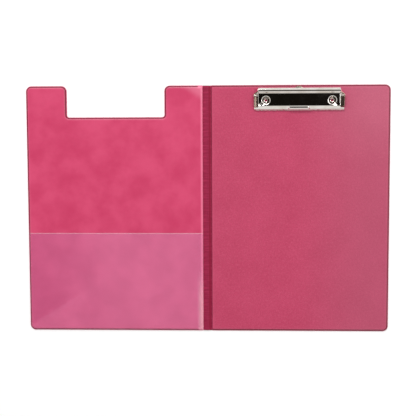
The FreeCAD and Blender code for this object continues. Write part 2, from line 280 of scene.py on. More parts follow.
def tight(x, y):
    return 0.03 * wave(x, y, 70.0, 5.2)


cover_face = skin("cover_face_film", cover_outline, inner_profile, under, swell=loose)
back_face = skin("back_face_film", back_outline, inner_profile, under, swell=tight)
outer_profile = [(0.0, seam - 0.1), (0.02, seam), (1.0, seam), (6.0, seam)]
outside_profile = [(0.0, 0.12), (0.12, 0.02), (0.4, 0.0), (weld - 0.3, 0.03), (weld, 0.09),
                   (weld + 0.3, 0.03), (weld + 0.8, 0.0), (8.0, 0.0)]
cover_outside = skin("cover_outside_film", cover_outline, outer_profile, outside_profile, spread=12.0)
back_outside = skin("back_outside_film", back_outline, outer_profile, outside_profile, spread=12.0)
panels = [(cover_face, "cover", "cover_lining", "cover_vinyl"),
          (back_face, "board", "back_lining", "grained_vinyl"),
          (cover_outside, "cover", "cover_outer_film", "cover_vinyl"),
          (back_outside, "board", "back_outer_film", "cover_vinyl")]
for piece, body, node, slot in panels:
    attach(piece, body)
    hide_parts(node)

# %% [markdown]
# ## The spine
# Between the panels the two films run on alone, and bend along two pressed lines. The spine has
# two fold lines, so it is drawn as two strips that meet in its middle.

# %% Spine
def strip(name, xs, ys, upper, lower):
    """A closed strip over a grid of x and y, between two heights given as functions."""
    vertices, faces = [], []
    columns, rows = len(xs), len(ys)
    for height in (upper, lower):
        for y in ys:
            vertices += [(x, y, height(x, y)) for x in xs]
    half = columns * rows
    for j in range(rows - 1):
        for i in range(columns - 1):
            a = j * columns + i
            faces.append((a, a + 1, a + columns + 1, a + columns))
            faces.append((half + a, half + a + columns, half + a + columns + 1, half + a + 1))
    border = list(range(columns)) + [j * columns + columns - 1 for j in range(1, rows)]
    border += [(rows - 1) * columns + i for i in range(columns - 2, -1, -1)]
    border += [j * columns for j in range(rows - 2, 0, -1)]
    for a, b in zip(border, border[1:] + border[:1]):
        faces.append((a, half + a, half + b, b))
    return new_piece(name, vertices, faces)


def spine_upper(x, y):
    """A low bow between two pressed fold lines, with a groove towards the board and fine rucks."""
    bow = 0.30 * math.cos(math.pi * min(abs(x), fold) / (2 * fold)) ** 2
    press = 0.22 * math.exp(-((abs(x) - fold) / 0.35) ** 2)
    groove = 0.38 * math.exp(-((x - 2.6) / 0.55) ** 2)
    ruck = 0.10 * wave(x * 0.4, y, 7.0, 2.2) * math.cos(math.pi * min(abs(x), fold) / (2 * fold))
    return seam + film + bow - press - groove + ruck


def spine_lower(x, y):
    return 0.02 + 0.12 * math.exp(-((abs(x) - fold) / 0.35) ** 2)


across = [0.0, 0.7, 1.4, 1.9, 2.3, 2.6, 2.9, 3.3, 3.7, 4.1, 4.45, 4.6, 4.75, 4.88, 5.0, 5.12, 5.25,
          5.4, 5.55, fold + rim_gap]
along = [-top + 0.3] + list(np.linspace(-top + 1.5, top - 1.5, 200)) + [top - 0.3]
for name, sign, body in (("spine_film_back", 1, "board"), ("spine_film_cover", -1, "cover")):
    piece = strip(name, [sign * x for x in across], along, spine_upper, spine_lower)
    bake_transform(piece)
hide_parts("spine_lining", "spine_outer_film", "fold_seam_back")
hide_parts("fold_seam_cover")

# %% [markdown]
# ## The clear pocket
# One more film, welded over the rim on three sides and open along its upper edge. It stands a
# little off the cover, slack and softly dented. It is a skin drawn too long, then cut straight
# across at its mouth.

# %% Pocket
def pocket_outline(inset):
    inner, outer, low = -fold_side(inset), -free + inset, -top + inset
    points = [(outer, low), (inner, low), (inner, pocket_mouth + 12), (outer, pocket_mouth + 12)]
    return points, [max(corner - inset, 1.0), fold_corner, fold_corner, fold_corner]


def slack(x, y):
    """How the loose film dents, and creases near its lower inner corner."""
    dent = 0.22 * wave(x, y, 45.0, 6.4) + 0.10 * wave(x, y, 16.0, 1.9)
    crease = 0.35 * math.exp(-((x * 0.35 + y + 168.0) / 2.2) ** 2) * max(0.0, 1 - abs(x + 35) / 26)
    return dent + crease + loose(x, y)


lift, thick = 0.32, 0.16
pocket_top = [(0.0, seam + film + 0.10), (0.12, seam + film + 0.20), (weld - 0.5, seam + film + 0.19),
              (weld - 0.25, seam + 1.1), (weld - 0.05, face - 0.25), (weld + 0.4, face + 0.05),
              (weld + 1.2, face + lift), (weld + 3.0, face + lift + 0.05),
              (weld + 7.0, face + lift + 0.1)]
pocket_under = [(0.0, seam + film + 0.04), (weld - 0.36, seam + film + 0.04),
                (weld - 0.12, seam + 1.1), (weld + 0.08, face - 0.32), (weld + 0.5, face - 0.04),
                (weld + 1.3, face + lift - thick), (weld + 7.0, face + lift + 0.1 - thick)]
pocket = skin("clear_pocket_film", pocket_outline, pocket_top, pocket_under, spread=4.0, swell=slack)
work = bmesh.new()
work.from_mesh(pocket.data)
everything = work.verts[:] + work.edges[:] + work.faces[:]
cut = bmesh.ops.bisect_plane(work, geom=everything, clear_outer=True,
                             plane_co=(0, pocket_mouth * MM, 0), plane_no=(0, 1, 0))
mouth_edges = [e for e in cut["geom_cut"] if isinstance(e, bmesh.types.BMEdge)]
bmesh.ops.edgeloop_fill(work, edges=mouth_edges)
bmesh.ops.recalc_face_normals(work, faces=work.faces)
work.to_mesh(pocket.data)
work.free()
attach(pocket, "cover")
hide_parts("clear_pocket")
print("pocket ends at", round(max(v.co.y for v in pocket.data.vertices) / MM, 2), "mm")

# %% [markdown]
# ## The clamp's lever, bent from a flat blank
# A press cuts the lever from strip, then bends it. The same order works here: draw the flat blank
# with its side tabs, wide toe and punched holes, fill it with triangles, and carry every point
# along the bent path. Sizes are given across the clamp, down from the folder's top edge, and up
# from the board's face.

# %% Clamp sizes
steel = 0.8
rod_y, rod_z = middle_of("clamp_rod", 1), middle_of("clamp_rod", 2)
rod_down, rod_up = top - rod_y, rod_z - face
toe_half = half_size("clamp_lever", 0)
eyelet_down = top - middle_of("clamp_eyelets", 1)
eyelet_half = 42.3  # half the distance between the eyelets
field = 6.8  # height of the lever's flat field
print(f"rod {rod_down:.1f} down and {rod_up:.1f} up, eyelets {eyelet_down:.1f} down, mm")
print(f"half the toe's width {toe_half:.1f} mm")


def on_clamp(u, down, up):
    """The place, in millimetres, of a point given across, down and up."""
    return clamp_x + u, top - down, face + up


# %% The lever's path
def bent_path(corners, radii, turn_step=7.0, run_step=1.6, support=0.2):
    """Points and lengths along a line with round bends; points beside each bend keep the flats flat."""
    corners = [Vector(c) for c in corners]
    points = [corners[0]]
    for i in range(1, len(corners) - 1):
        centre, first, turn = corner_arc(corners[i - 1], corners[i], corners[i + 1], radii[i])
        steps = max(3, round(abs(math.degrees(turn)) / turn_step))
        angles = [first + turn * k / steps for k in range(steps + 1)]
        points += [centre + Vector((math.cos(a), math.sin(a))) * radii[i] for a in angles]
    points.append(corners[-1])
    full = [points[0]]
    for a, b in zip(points, points[1:]):
        length = (b - a).length
        runs = max(1, round(length / run_step))
        shares = [k / runs for k in range(1, runs + 1)]
        if length > 1.0:
            shares += [support / length, 1 - support / length]
        full += [a.lerp(b, share) for share in sorted(shares)]
    places = np.array([tuple(p) for p in full])
    lengths = np.concatenate([[0], np.cumsum(np.linalg.norm(np.diff(places, axis=0), axis=1))])
    return places, lengths


lever_corners = [(4.35, 6.9), (5.3, 9.45), (8.6, 9.45), (10.6, field),
                 (26.8, field), (30.7, 3.35), (31.2, 1.5), (31.95, 1.0)]
lever_places, lever_lengths = bent_path(lever_corners, [0, 3.2, 2.0, 0.9, 1.5, 0.8, 0.6, 0])
lever_end = lever_lengths[-1]
forward = int(np.argmax(lever_places[:, 0] > 7.0))


def length_at(down):
    """The length along the lever, in front of its thumb edge, that lies this far down."""
    return float(np.interp(down, lever_places[forward:, 0], lever_lengths[forward:]))


def place_at(s):
    return np.array([np.interp(s, lever_lengths, lever_places[:, k]) for k in (0, 1)])


def path_at(s, nearby=0.15):
    """Place and upward normal at a length along the lever."""
    along_path = place_at(min(s + nearby, lever_end)) - place_at(max(s - nearby, 0))
    direction = along_path / np.linalg.norm(along_path)
    return place_at(s), np.array([-direction[1], direction[0]])


print(f"the lever's blank is {lever_end:.1f} mm long")

# %% The lever's blank
bend_start, bend_radius, lever_half = 51.65, 0.42, 52.4


def tab(drop):
    """Half width of the blank where a side tab must hang down by drop."""
    return bend_start + bend_radius * math.pi / 2 + drop - bend_radius


right_side = [(lever_half, 0.0), (lever_half, length_at(10.8)), (tab(4.2), length_at(11.5)),
              (tab(5.0), length_at(12.4)), (tab(5.0), length_at(18.0)), (tab(2.3), length_at(24.6)),
              (lever_half, length_at(25.5)), (lever_half, length_at(28.6)),
              (toe_half, length_at(29.0)), (toe_half, lever_end - 1.3), (toe_half - 1.3, lever_end)]
right_radii = [1.0, 0.3, 0.8, 1.0, 3.0, 0.8, 0.3, 0.25, 0.5, 0.6, 0.6]
blank = right_side + [(-u, s) for u, s in reversed(right_side)]
outline = rounded_ring(blank, right_radii + right_radii[::-1], arc_points=5, step=1.4)[0]
dish_bore, dish_rim, dish_depth = 4.1, 5.9, 1.8
dish_s = length_at(eyelet_down)
dish_sides, rod_sides = 48, 24  # points round each kind of hole
rod_hole = (tab(field - rod_up), length_at(rod_down), 1.16)
holes = [(side * eyelet_half, dish_s, dish_bore) for side in (-1, 1)]
holes += [(side * rod_hole[0], rod_hole[1], rod_hole[2]) for side in (-1, 1)]
points, edges = list(outline), [(i, (i + 1) % len(outline)) for i in range(len(outline))]


def add_circle(u, s, radius, count, keep_edges):
    """Adds points round a circle, and their edges where it is the rim of a hole."""
    start = len(points)
    points.extend(Vector((u + radius * math.cos(a), s + radius * math.sin(a)))
                  for a in (2 * math.pi * k / count for k in range(count)))
    if keep_edges:
        edges.extend((start + k, start + (k + 1) % count) for k in range(count))


for u, s, radius in holes:
    add_circle(u, s, radius, dish_sides if radius == dish_bore else rod_sides, True)
for side in (-1, 1):
    for radius in (4.3, 4.6, 5.0, 5.4, 5.65, 5.9, 6.15):
        add_circle(side * eyelet_half, dish_s, radius, dish_sides, False)


def inside_blank(u, s):
    """Whether a point is inside the blank: a ray from it crosses the outline an odd number of times."""
    hit = False
    for a, b in zip(outline, outline[1:] + outline[:1]):
        if (a.y > s) != (b.y > s) and u < a.x + (s - a.y) * (b.x - a.x) / (b.y - a.y):
            hit = not hit
    return hit


hump_start, fine_half = length_at(20.5), 16.5  # the grid is finer here, round the hump
columns = list(np.arange(-57.0, -16.0, 1.9)) + list(np.arange(-16.0, 16.01, 0.5))
columns += list(np.arange(16.9, 57.2, 1.9))
columns += [side * (bend_start + k * 0.15) for side in (-1, 1) for k in range(-1, 9)]
rows = list(lever_lengths[1:-1]) + list(np.arange(hump_start, lever_end - 0.3, 0.45))
dish_clear, rod_clear = 6.4, 1.5  # the grid keeps this far from each kind of hole's middle
for u in sorted(columns):
    for s in sorted(rows):
        fine = hump_start <= s and s not in lever_lengths
        if fine and abs(u) > fine_half:
            continue
        near_hole = any(math.hypot(u - hu, s - hs) < (dish_clear if r == dish_bore else rod_clear)
                        for hu, hs, r in holes)
        if not near_hole and inside_blank(u, s):
            points.append(Vector((u, s)))
made = delaunay_2d_cdt(points, edges, [list(range(len(outline)))], 1, 1e-5)
flat, triangles = made[0], made[2]
kept = []
for triangle in triangles:
    u = sum(flat[k].x for k in triangle) / 3
    s = sum(flat[k].y for k in triangle) / 3
    in_a_hole = any(math.hypot(u - hu, s - hs) < r * 0.995 for hu, hs, r in holes)
    if not in_a_hole:
        kept.append(list(triangle))
print(f"blank: {len(flat)} points, {len(kept)} triangles")


# %% Bending the blank
def smooth_step(low, high, x):
    """0 below low, 1 above high, and a smooth rise between."""
    t = min(1.0, max(0.0, (x - low) / (high - low)))
    return t * t * (3 - 2 * t)


def dish(radius):
    """How far the field is pressed down at a distance from an eyelet's middle."""
    return dish_depth * (1 - smooth_step(dish_bore - 0.4, dish_rim, radius))


def gutter(u, s):
    """A shallow run from each dish to the front corner of the field."""
    start = Vector((eyelet_half + 1.5, dish_s + 3.0))
    end = Vector((eyelet_half + 6.6, length_at(25.6)))
    share = (Vector((u, s)) - start).dot(end - start) / (end - start).length_squared
    aside = (Vector((u, s)) - start.lerp(end, max(0.0, min(1.0, share)))).length
    return gutter_depth * (1 - smooth_step(0.4, 3.4, aside))


gutter_depth = 0.75
tab_start, tab_end = length_at(11.1), length_at(25.6)
hump_reach, hump_centre, hump_radius, hump_soft = 11.2, (28.6, 3.7), 2.55, 0.7


def pressed(u, s):
    """The finished place of a point of the blank: bent, tabs folded, dishes and hump pressed."""
    (down, up), normal = path_at(s)
    sunk = max(dish(math.hypot(abs(u) - eyelet_half, s - dish_s)), gutter(abs(u), s))
    down, up = down - normal[0] * sunk, up - normal[1] * sunk
    folded = smooth_step(tab_start, tab_start + 0.5, s) * (1 - smooth_step(tab_end - 0.5, tab_end, s))
    past = abs(u) - bend_start
    if past > 0 and folded > 0:
        angle = min(past / bend_radius, math.pi / 2)
        straight = max(0.0, past - bend_radius * math.pi / 2)
        bent_u = bend_start + bend_radius * math.sin(angle)
        drop = bend_radius * (1 - math.cos(angle)) + straight
        u = math.copysign(abs(u) + (bent_u - abs(u)) * folded, u)
        up -= drop * folded
    middle = Vector((max(-hump_reach, min(hump_reach, u)), *hump_centre))
    out = Vector((u, down, up)) - middle
    distance = out.length
    if distance < hump_radius + hump_soft and s > hump_start:
        blend = max(0.0, hump_soft - abs(hump_radius - distance)) / hump_soft
        wanted = max(hump_radius, distance) + blend * blend * hump_soft / 4
        u, down, up = middle + out * (wanted / max(distance, 0.05))
    return on_clamp(u, down, up)


lever = new_piece("clamp_lever_plate", [pressed(p.x, p.y) for p in flat], kept)


def keep_result(piece, said):
    """Makes the result of a piece's modifiers its mesh, and removes them."""
    bpy.context.view_layer.update()
    finished = piece.evaluated_get(bpy.context.evaluated_depsgraph_get())
    result = bpy.data.meshes.new_from_object(finished)
    piece.modifiers.clear()
    piece.data = result
    print(f"{piece.name}: {len(result.polygons)} faces {said}")


def finish_modifiers(piece, *settings):
    """Adds modifiers, given as (kind, values), and keeps their result."""
    for kind, values in settings:
        modifier = piece.modifiers.new(kind.title(), kind)
        for key, value in values.items():
            setattr(modifier, key, value)
    keep_result(piece, "after " + ", ".join(kind for kind, _ in settings))


if sum(f.normal.z * f.area for f in lever.data.polygons) < 0:
    lever.data.flip_normals()
sheet = {"thickness": steel * MM, "offset": 0.0, "use_even_offset": True}
soft_edge = {"width": 0.16 * MM, "segments": 2, "limit_method": "ANGLE", "angle_limit": math.radians(50)}
finish_modifiers(lever, ("SOLIDIFY", sheet), ("BEVEL", soft_edge))
lever.data.shade_smooth()
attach(lever, "lever")
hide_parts("clamp_lever")

# %% [markdown]
# ## Parts that only need softer edges
# The base plate and the hanging hook are right as modelled, but light catches real sheet along its
# edges, never on a perfect corner. A copy of each is merged from its loose triangles, and its edges
# are bevelled.

# %% Base and hook
def softened(node, name, width, body, angle=40, raised=1.0):
    """Makes a piece of a node's mesh with bevelled edges, wider by the share raised above the plate."""
    work = bmesh.new()
    work.from_mesh(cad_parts[node].data)
    bmesh.ops.remove_doubles(work, verts=work.verts, dist=1e-6)
    bmesh.ops.dissolve_limit(work, angle_limit=math.radians(1), verts=work.verts,
                             edges=work.edges, delimit={"NORMAL"})
    weight = work.edges.layers.float.new("bevel_weight_edge")
    for edge in work.edges:
        high = min(v.co.z for v in edge.verts) > (face + 1.0) * MM
        if edge.calc_face_angle(0.0) > math.radians(angle):
            edge[weight] = 1.0 if high else 1.0 / raised
    mesh = bpy.data.meshes.new(name)
    work.to_mesh(mesh)
    work.free()
    piece = show(name, mesh)
    bevel = {"width": width * raised * MM, "segments": 3, "limit_method": "WEIGHT"}
    finish_modifiers(piece, ("BEVEL", bevel))
    piece.data.shade_smooth()
    work = bmesh.new()
    work.from_mesh(piece.data)
    for edge in work.edges:
        edge.smooth = edge.calc_face_angle(0.0) < math.radians(angle)
    work.to_mesh(piece.data)
    work.free()
    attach(piece, body)
    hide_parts(node)


softened("clamp_base", "clamp_base_plate", 0.10, "board", raised=3.5)
softened("hanging_hook", "hanging_hook_plate", 0.12, "hook")

# %% [markdown]
# ## Pieces that follow a rule
# Two eyelets are one turned profile, placed twice, and the spring is one wire along a path: both
# are jobs for Geometry Nodes. Each tree takes the object's own points as its line, has named inputs
# for its sizes, and ends in real mesh with its material set, because instances are lost when the
# model is exported.

# %% Helpers for node trees
class Tree:
    """A Geometry Nodes tree with named number inputs."""

    def __init__(self, name, inputs):
        self.group = bpy.data.node_groups.new(name, "GeometryNodeTree")
        new_socket = self.group.interface.new_socket
        new_socket("Geometry", in_out="INPUT", socket_type="NodeSocketGeometry")
        new_socket("Geometry", in_out="OUTPUT", socket_type="NodeSocketGeometry")
        self.keys = {}
        for key, (kind, value) in inputs.items():
            socket = new_socket(key, in_out="INPUT", socket_type="NodeSocket" + kind)
            if kind != "Material":
                socket.default_value = value
            self.keys[key] = (socket.identifier, value)
        self.start = self.group.nodes.new("NodeGroupInput")
        self.end = self.group.nodes.new("NodeGroupOutput")

    def add(self, kind, **inputs):
        node = self.group.nodes.new(kind)
        for key, value in inputs.items():
            socket = node.inputs[key.replace("_", " ")]
            if isinstance(value, bpy.types.NodeSocket):
                self.group.links.new(value, socket)
            else:
                socket.default_value = value
        return node.outputs[0]

    def finish(self, geometry, piece):
        """Realises the result, sets its material, runs it on the piece and keeps the mesh."""
        real = self.add("GeometryNodeRealizeInstances", Geometry=geometry)
        material = self.start.outputs["Material"]
        painted = self.add("GeometryNodeSetMaterial", Geometry=real, Material=material)
        self.group.links.new(painted, self.end.inputs[0])
        modifier = piece.modifiers.new("Nodes", "NODES")
        modifier.node_group = self.group
        for identifier, value in self.keys.values():
            modifier[identifier] = value
        keep_result(piece, "from its node tree")


def line_piece(name, places, closed=False):
    """An object that holds only a line of points, in millimetres, for a node tree to follow."""
    mesh = bpy.data.meshes.new(name)
    count = len(places)
    edges = [(i, (i + 1) % count) for i in range(count if closed else count - 1)]
    mesh.from_pydata([tuple(c * MM for c in p) for p in places], edges, [])
    return show(name, mesh)


# %% [markdown]
# ## Writing materials as sums
# A material is a small calculation over the surface. Wrapping each socket in a class that knows +,
# - and * lets that calculation be written the way it is thought of, such as 0.4 + speckle * 0.1,
# and adds the Math nodes itself.

# %% Helpers for materials
class Wire:
    """A node's output, which can be added, subtracted and multiplied."""

    def __init__(self, paint, socket):
        self.paint, self.socket = paint, socket

    def maths(self, operation, a, b=None):
        inputs = {0: a} if b is None else {0: a, 1: b}
        return self.paint.node("Math", {"operation": operation}, inputs)

    def __add__(self, other):
        return self.maths("ADD", self, other)

    def __sub__(self, other):
        return self.maths("SUBTRACT", self, other)

    def __rsub__(self, other):
        return self.maths("SUBTRACT", other, self)

    def __mul__(self, other):
        return self.maths("MULTIPLY", self, other)

    def __abs__(self):
        return self.maths("ABSOLUTE", self)

    __radd__, __rmul__ = __add__, __mul__

    def ramp(self, low, high):
        """0 below low, 1 above high, and a smooth rise between."""
        settings = {"clamp": True, "interpolation_type": "SMOOTHSTEP"}
        inputs = {"Value": self, "From Min": low, "From Max": high}
        return self.paint.node("MapRange", settings, inputs)


class Paint:
    """A procedural material; node() takes settings first, then values or wires for its sockets."""

    def __init__(self, name, **fixed):
        self.material = bpy.data.materials.new(name)
        self.material.use_nodes = True
        self.tree = self.material.node_tree
        self.tree.nodes.clear()
        self.output = self.tree.nodes.new("ShaderNodeOutputMaterial")
        self.shader = self.tree.nodes.new("ShaderNodeBsdfPrincipled")
        self.tree.links.new(self.shader.outputs[0], self.output.inputs[0])
        for key, value in fixed.items():
            self.shader.inputs[key.replace("_", " ")].default_value = value
        self.place = self.node("TexCoord", out="Object")

    def node(self, kind, settings=None, inputs=None, out=0):
        node = self.tree.nodes.new("ShaderNode" + kind)
        for key, value in (settings or {}).items():
            setattr(node, key, value)
        for key, value in (inputs or {}).items():
            socket = node.inputs[key]
            if isinstance(value, Wire):
                self.tree.links.new(value.socket, socket)
            else:
                socket.default_value = value
        return Wire(self, node.outputs[out])

    def stretched(self, x, y, z):
        return self.node("Mapping", inputs={"Vector": self.place, "Scale": (x, y, z)})

    def speckle(self, scale, detail=3.0, rough=0.5, place=None):
        """Noise from 0 to 1, with this many bumps to a metre."""
        inputs = {"Vector": place or self.place, "Scale": scale, "Detail": detail, "Roughness": rough}
        return self.node("TexNoise", inputs=inputs)

    def mix(self, factor, a, b):
        return self.node("Mix", {"data_type": "RGBA"}, {0: factor, 6: a, 7: b}, out=2)

    def value(self, name):
        return self.node("Attribute", {"attribute_name": name}, out="Fac")

    def axis(self, which):
        return self.node("SeparateXYZ", inputs={0: self.place}, out=which)

    def connect(self, key, wire):
        self.tree.links.new(wire.socket, self.shader.inputs[key])
        return self

    def bump(self, height, distance):
        """Raises the surface by height times distance, in metres."""
        inputs = {"Height": height, "Distance": distance, "Strength": 1.0}
        return self.connect("Normal", self.node("Bump", inputs=inputs))


def tone(red, green, blue):
    return red, green, blue, 1.0


# %% [markdown]
# ## Vinyl
# The same dyed film is used all over, but it is finished three ways. The cover is smooth and softly
# shiny. The back board has a fine leather grain: small cells with rounded tops, and painted shade in
# the valleys between them. The spine is bare film, finely rucked, and painted deeper in colour,
# partly as the shade of the low valley between the panels; a painted shadow lies along it beside
# the board's edge. Along every welded edge the film is a little nicked, a painted highlight makes it
# paler along the shoulder, most of all on the cover beside the fold, and a painted shade line runs
# along the rim. Soft light lies pale on it in two places, and is painted into the colour there: the
# cover's upper inner corner, and towards the board's free edge.

# %% Vinyl
def edge_wear_highlight_and_shade(paint, colour):
    """Small nicks near the welded edge, a painted highlight that pales the film along its shoulder, and a
    painted shade line where the film goes down to the weld.
    """
    edge = paint.value("from_edge")
    nick = paint.speckle(900.0, 4.0, 0.7).ramp(0.60, 0.66) * paint.speckle(60.0, 2.0).ramp(0.5, 0.6)
    nicks = (1 - edge.ramp(0.2, 0.9)) * nick
    # Painted shade: a dark line on the rim, where the film goes down to the weld, except beside the fold.
    line = edge.ramp(0.3, 0.8) * (1 - edge.ramp(weld, weld + 0.9))
    # Painted highlight: paler film along the shoulder, made much stronger on the cover beside the fold.
    stretched = edge.ramp(weld + 0.1, weld + 0.4) * (1 - edge.ramp(weld + 1.2, weld + 3.6))
    by_fold = 1 - abs(paint.axis("X") + 0.0075).ramp(0.003, 0.006)
    fold_highlight = by_fold * (1 - edge.ramp(weld + 1.2, weld + 3.6))
    rim_highlight_and_shade = paint.mix(stretched * 0.05 + fold_highlight * 0.6, colour, tone(0.84, 0.21, 0.34))
    rim_highlight_and_shade = paint.mix(line * (1 - by_fold) * 0.88, rim_highlight_and_shade, tone(0.19, 0.005, 0.030))
    return paint.mix(nicks * 0.9, rim_highlight_and_shade, tone(0.90, 0.66, 0.70))


def smooth_vinyl(name):
    paint = Paint(name, IOR=1.5, Specular_IOR_Level=0.5)
    cloud = paint.speckle(30.0, 3.0, 0.55)
    fine = paint.speckle(220.0, 4.0, 0.6)
    colour = paint.mix(cloud.ramp(0.28, 0.72), tone(0.525, 0.038, 0.112), tone(0.625, 0.066, 0.158))
    colour = paint.mix(fine * 0.25, colour, tone(0.49, 0.036, 0.102))
    sheen = (paint.axis("Y") + paint.axis("X") * 0.65).ramp(0.1330, 0.1460)
    colour = paint.mix(sheen * 0.5, colour, tone(0.70, 0.19, 0.29))
    paint.connect("Base Color", edge_wear_highlight_and_shade(paint, colour))
    paint.connect("Roughness", 0.30 + fine * 0.14)
    pores = paint.speckle(2600.0, 2.0, 0.5)
    return paint.bump(pores * 0.35 + fine, 0.00006).material


def grained_vinyl(name):
    paint = Paint(name, IOR=1.5, Specular_IOR_Level=0.45)
    warp = paint.speckle(260.0, 3.0, 0.5)
    cells = paint.node("TexVoronoi", {"feature": "DISTANCE_TO_EDGE"},
                       {"Vector": paint.place, "Scale": 820.0, "Randomness": 1.0})
    grain = cells.ramp(0.0, 0.28)
    cloud = paint.speckle(22.0, 4.0, 0.6)
    mottle = paint.speckle(380.0, 3.0, 0.7)
    colour = paint.mix(cloud.ramp(0.3, 0.7), tone(0.478, 0.032, 0.101), tone(0.528, 0.043, 0.121))
    # Painted shade: the grain's valleys are darkened.
    colour = paint.mix((1 - grain) * 0.5, colour, tone(0.34, 0.024, 0.070))
    colour = paint.mix(mottle.ramp(0.45, 0.75) * 0.30, colour, tone(0.60, 0.11, 0.19))
    x, y = paint.axis("X"), paint.axis("Y")
    # Painted sheen: paler towards the board's free edge, most of all near its top.
    free_edge_sheen = paint.mix(y.ramp(0.04, 0.15), tone(0.37, 0.10, 0.16), tone(0.49, 0.19, 0.26))
    colour = paint.mix(x.ramp(0.10, 0.22) * 0.32, colour, free_edge_sheen)
    paint.connect("Base Color", edge_wear_highlight_and_shade(paint, colour))
    paint.connect("Roughness", 0.42 + (1 - grain) * 0.2 + mottle * 0.06)
    return paint.bump(grain + warp * 0.5, 0.00011).material


def spine_vinyl(name):
    paint = Paint(name, IOR=1.5, Specular_IOR_Level=0.22)
    ruck = paint.speckle(1.0, 3.0, 0.5, paint.stretched(60.0, 420.0, 60.0))
    fine = paint.speckle(1300.0, 3.0, 0.6)
    x = paint.axis("X")
    # Painted shadow: the groove beside the board's edge is darkened, where the board shades it.
    groove = 1 - abs(x - 0.0030).ramp(0.0006, 0.0018)
    # Deeper pink than the panels: partly the bare film, partly painted shade of the valley between them.
    colour = paint.mix(ruck.ramp(0.42, 0.66), tone(0.25, 0.009, 0.043), tone(0.34, 0.018, 0.068))
    colour = paint.mix(groove * 0.85, colour, tone(0.235, 0.003, 0.028))
    paint.connect("Base Color", colour)
    paint.connect("Roughness", 0.44 + fine * 0.2)
    return paint.bump(ruck + fine * 0.2, 0.00018).material


finishes = {"cover": smooth_vinyl("smooth pink vinyl"), "grain": grained_vinyl("grained pink vinyl"),
            "spine": spine_vinyl("rucked spine vinyl")}
print("vinyl finishes:", list(finishes))

# %% [markdown]
# ## Clear film, board and metal
# Clear film hides little: it lays a thin cloudy haze over the pink, and is paler along its cut
# mouth. A painted sheen on it grows from its outer edge towards the middle, and is brighter below a
# diagonal near its lower outer corner; a painted highlight runs along its inner edge low down. Nickel
# plate is a mirror with a faint warm grey of its own, broken up by rubbing marks along the way it
# slides.

# %% Clear film, board and metal
def clear_film(name):
    paint = Paint(name, IOR=1.45, Specular_IOR_Level=0.5)
    haze = paint.speckle(16.0, 3.0, 0.6)
    x, y = paint.axis("X"), paint.axis("Y")
    # Painted sheen: brighter below a diagonal near the lower outer corner.
    diagonal_sheen = (x * 0.62 - y - 0.0072 + haze * 0.004).ramp(0.0, 0.006)
    diagonal_sheen = diagonal_sheen * (1 - x.ramp(-0.205, -0.140))
    # Random cloudy haze, plus a painted sheen that grows from the outer edge towards the middle.
    haze_and_sheen = 0.1 + x.ramp(-0.228, -0.105) * 0.7 + diagonal_sheen * 0.45 + (haze - 0.5) * 0.3
    # Painted highlight: a pale line along the inner edge, in its lower part.
    crease = x.ramp(-0.0150, -0.0080) * (1 - y.ramp(-0.120, -0.070))
    mouth = y.ramp((pocket_mouth - 1.1) * MM, (pocket_mouth - 0.5) * MM)
    weld_line = 1 - abs(paint.value("from_edge") - weld).ramp(0.3, 1.0)
    body = paint.mix(haze_and_sheen, tone(0.62, 0.30, 0.62), tone(0.98, 0.52, 0.86))
    paint.connect("Base Color", paint.mix(mouth + crease, body, tone(0.98, 0.66, 0.76)))
    inside = paint.value("from_edge").ramp(weld, weld + 2.5)
    film_alpha = 0.02 + inside * (0.062 + haze_and_sheen * 0.022)
    paint.connect("Alpha", film_alpha + mouth * 0.14 + crease * 0.12 + weld_line * 0.05)
    paint.connect("Roughness", 0.12 + haze * 0.12)
    ripple = paint.speckle(45.0, 4.0, 0.5)
    return paint.bump(ripple, 0.0009).material


def grey_board(name):
    paint = Paint(name, IOR=1.4, Specular_IOR_Level=0.2)
    fibre = paint.speckle(900.0, 5.0, 0.7)
    fleck = paint.speckle(260.0, 2.0, 0.5).ramp(0.62, 0.7)
    colour = paint.mix(fibre, tone(0.30, 0.28, 0.25), tone(0.42, 0.40, 0.36))
    paint.connect("Base Color", paint.mix(fleck * 0.5, colour, tone(0.16, 0.15, 0.14)))
    paint.connect("Roughness", 0.85 + fibre * 0.1)
    return paint.bump(fibre, 0.0001).material


def nickel(name, colour, rubbed, rough=0.05):
    paint = Paint(name, Metallic=1.0)
    rub = paint.speckle(1.0, 4.0, 0.6, paint.stretched(60.0, 2200.0, 900.0))
    smudge = paint.speckle(70.0, 3.0, 0.6)
    pit = paint.speckle(700.0, 2.0, 0.5).ramp(0.70, 0.76)
    tint = paint.mix(smudge.ramp(0.35, 0.7), colour, rubbed)
    paint.connect("Base Color", paint.mix(pit * 0.3, tint, tone(0.36, 0.32, 0.27)))
    paint.connect("Roughness", rough + rub * 0.03 + smudge.ramp(0.4, 0.8) * 0.04 + pit * 0.08)
    return paint.bump(rub * 0.2 + smudge, 0.000006).material


finishes["clear"] = clear_film("clear pocket film")
finishes["board"] = grey_board("grey board")
finishes["nickel"] = nickel("nickel plate", tone(0.80, 0.765, 0.725), tone(0.68, 0.63, 0.57))
# Base plate and hook: rougher than the lever, and painted darker and browner as the shade under the lever
# and the pink it reflects.
finishes["dull_shaded"] = nickel("dull nickel plate", tone(0.42, 0.32, 0.26), tone(0.31, 0.22, 0.17), 0.24)
finishes["wire"] = nickel("spring wire", tone(0.56, 0.54, 0.52), tone(0.46, 0.44, 0.42), 0.2)
print("finishes:", sorted(finishes))

# %% Eyelets
head = face + steel
profile = [(1.60, seam + 0.06), (3.28, seam + 0.06), (3.28, seam + 0.34), (2.0, seam + 0.44),
           (2.0, head - 0.02), (3.35, head), (3.58, head + 0.16), (3.55, head + 0.42),
           (3.2, head + 0.68), (2.6, head + 0.80), (2.05, head + 0.70), (1.72, head + 0.40),
           (1.60, head - 0.1)]
